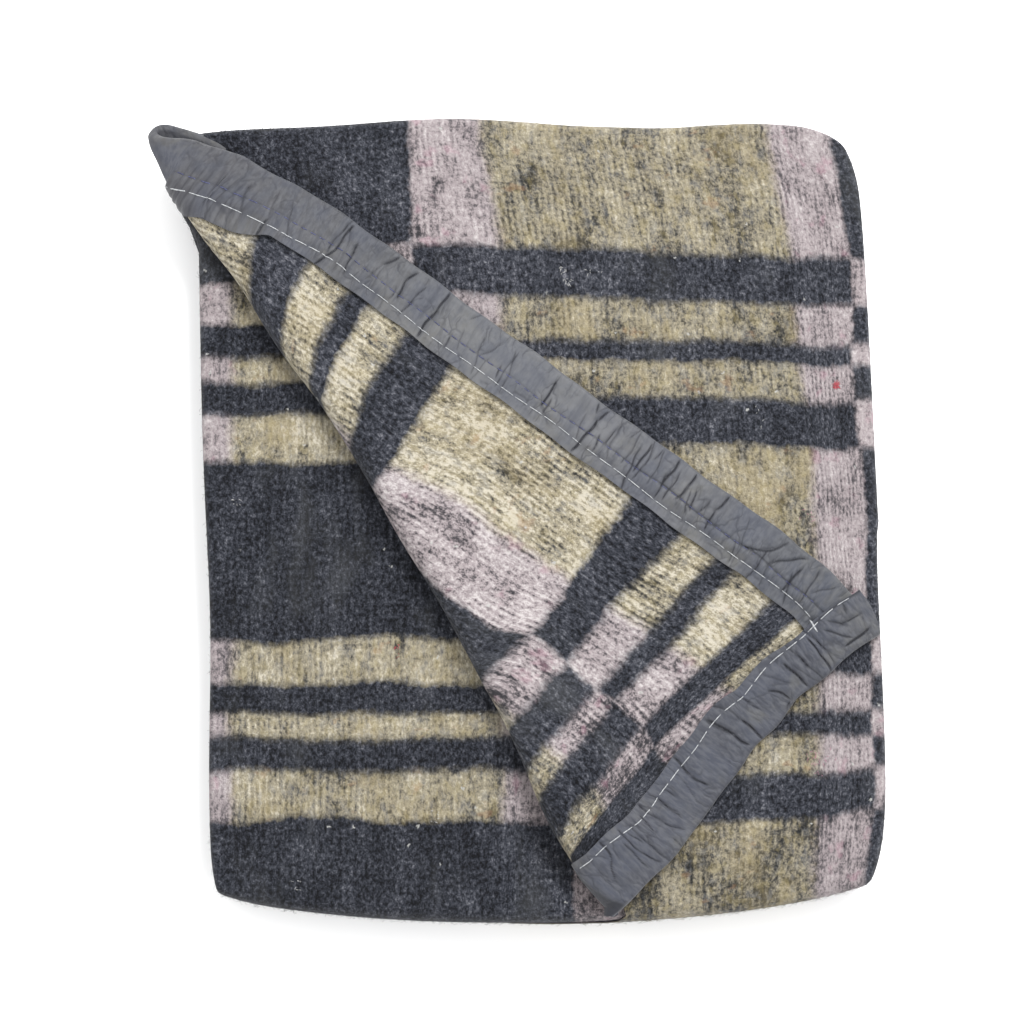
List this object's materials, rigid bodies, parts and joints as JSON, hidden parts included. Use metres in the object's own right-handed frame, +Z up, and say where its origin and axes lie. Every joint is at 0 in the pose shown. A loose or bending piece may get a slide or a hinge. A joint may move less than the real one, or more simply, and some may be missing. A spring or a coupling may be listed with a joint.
{
  "type": "bed blanket",
  "caption": "Felted bed blanket with a broken-check weave, folded into a flat packet with its tape-bound corner turned back over the top; spread over a bed for warmth",
  "frame": {"origin": "centre of the folded packet's box, on the surface it rests on", "axes": "+X to the packet's right-hand fold, +Y to its back along the longer side, +Z up"},
  "size_m": [0.4172, 0.453, 0.0668],
  "materials": {
    "cloth": "matte, short felted nap",
    "tape": "soft satin weave"
  },
  "bodies": {
    "root": {"blanket": "cloth", "tape_side": "tape", "tape_end": "tape"}
  },
  "joints": []
}
